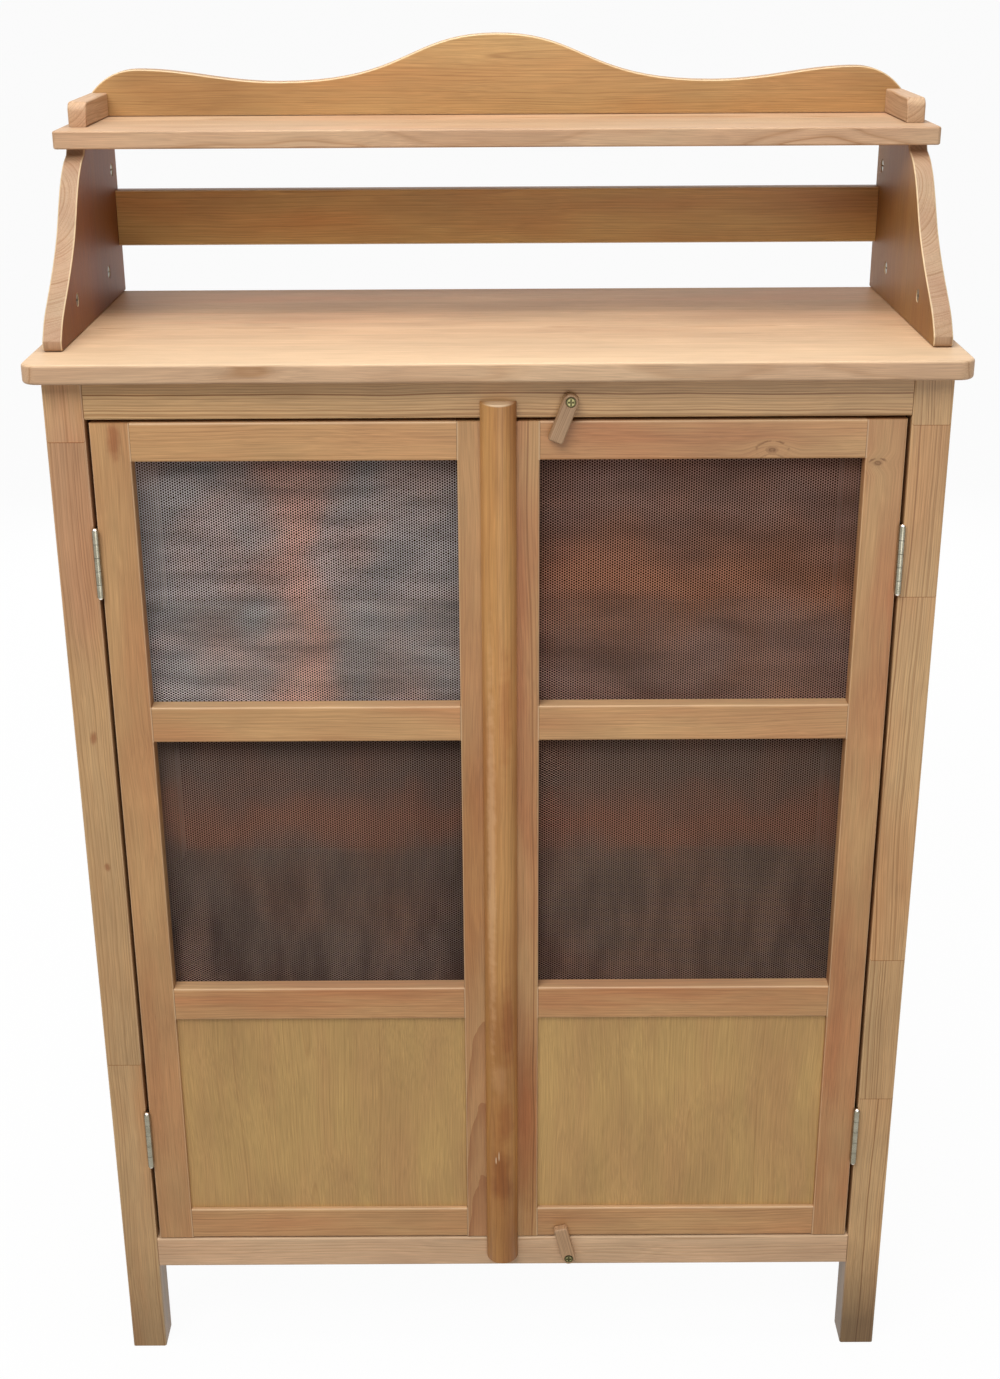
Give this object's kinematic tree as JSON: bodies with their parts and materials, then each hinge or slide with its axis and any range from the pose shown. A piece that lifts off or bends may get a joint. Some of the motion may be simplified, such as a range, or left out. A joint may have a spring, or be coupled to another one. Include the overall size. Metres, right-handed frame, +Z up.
{
  "type": "jelly cupboard",
  "caption": "Tall wooden jelly cupboard on square legs, with two framed doors of steel netting over wood panels, turn buttons, and a scrolled hutch shelf with a shaped gallery.",
  "frame": {"origin": "on the floor, under the middle of the cupboard's overall box", "axes": "+Z up, +X to the right of someone facing the doors, +Y to the back; the doors face -Y"},
  "size_m": [0.89, 0.391, 1.4265],
  "materials": {
    "carcass_fir": "satin clear lacquer on planed fir",
    "door_fir": "satin clear lacquer on planed fir",
    "moulding_fir": "satin clear lacquer on turned and split fir",
    "button_fir": "satin clear lacquer on cut fir",
    "plank_fir": "satin clear lacquer on edge-glued fir",
    "plywood_panel": "satin clear lacquer on veneered plywood",
    "steel_net": "bare steel netting",
    "hinge_steel": "zinc-plated pressed steel",
    "screw_brass": "yellow passivated steel"
  },
  "bodies": {
    "carcass": {"back_panel": "plywood_panel", "bracket_left": "carcass_fir", "bracket_right": "carcass_fir", "cabinet_floor": "plywood_panel", "gallery_board": "carcass_fir", "gallery_cheek_left": "carcass_fir", "gallery_cheek_right": "carcass_fir", "hinge_lower_left_post_leaf": "hinge_steel", "hinge_lower_right_post_leaf": "hinge_steel", "hinge_upper_left_post_leaf": "hinge_steel", "hinge_upper_right_post_leaf": "hinge_steel", "hutch_back_rail": "carcass_fir", "inner_shelf_lower": "plywood_panel", "inner_shelf_upper": "plywood_panel", "post_back_left": "carcass_fir", "post_back_right": "carcass_fir", "post_front_left": "carcass_fir", "post_front_right": "carcass_fir", "rail_back_bottom": "carcass_fir", "rail_back_top": "carcass_fir", "rail_front_bottom": "carcass_fir", "rail_front_top": "carcass_fir", "rail_left_bottom": "carcass_fir", "rail_left_top": "carcass_fir", "rail_right_bottom": "carcass_fir", "rail_right_top": "carcass_fir", "side_panel_left": "plywood_panel", "side_panel_right": "plywood_panel", "tabletop": "plank_fir", "turn_screw_lower": "screw_brass", "turn_screw_upper": "screw_brass", "upper_shelf": "plank_fir"},
    "left_door": {"hinge_lower_left_door_leaf": "hinge_steel", "hinge_upper_left_door_leaf": "hinge_steel", "left_door_hinge_stile": "door_fir", "left_door_meeting_stile": "door_fir", "left_door_net_lower": "steel_net", "left_door_net_upper": "steel_net", "left_door_panel": "plywood_panel", "left_door_rail_bottom": "door_fir", "left_door_rail_lower": "door_fir", "left_door_rail_middle": "door_fir", "left_door_rail_top": "door_fir"},
    "right_door": {"hinge_lower_right_door_leaf": "hinge_steel", "hinge_upper_right_door_leaf": "hinge_steel", "meeting_moulding": "moulding_fir", "right_door_hinge_stile": "door_fir", "right_door_meeting_stile": "door_fir", "right_door_net_lower": "steel_net", "right_door_net_upper": "steel_net", "right_door_panel": "plywood_panel", "right_door_rail_bottom": "door_fir", "right_door_rail_lower": "door_fir", "right_door_rail_middle": "door_fir", "right_door_rail_top": "door_fir"},
    "upper_turn_button": {"turn_button_upper": "button_fir"},
    "lower_turn_button": {"turn_button_lower": "button_fir"}
  },
  "joints": [
    {"name": "left_door_hinge", "type": "hinge", "parent": "carcass", "child": "left_door", "pos_m": [-0.39025, -0.17805, 0.625], "axis": [0, 0, -1], "range_deg": [0, 180]},
    {"name": "right_door_hinge", "type": "hinge", "parent": "carcass", "child": "right_door", "pos_m": [0.39025, -0.17805, 0.625], "axis": [0, 0, 1], "range_deg": [0, 180]},
    {"name": "upper_turn_button_pivot", "type": "hinge", "parent": "carcass", "child": "upper_turn_button", "pos_m": [0.0685, -0.1798, 1.116], "axis": [0, -1, 0], "range_deg": [-88, 130]},
    {"name": "lower_turn_button_pivot", "type": "hinge", "parent": "carcass", "child": "lower_turn_button", "pos_m": [0.075, -0.1798, 0.1291], "axis": [0, -1, 0], "continuous": true}
  ]
}
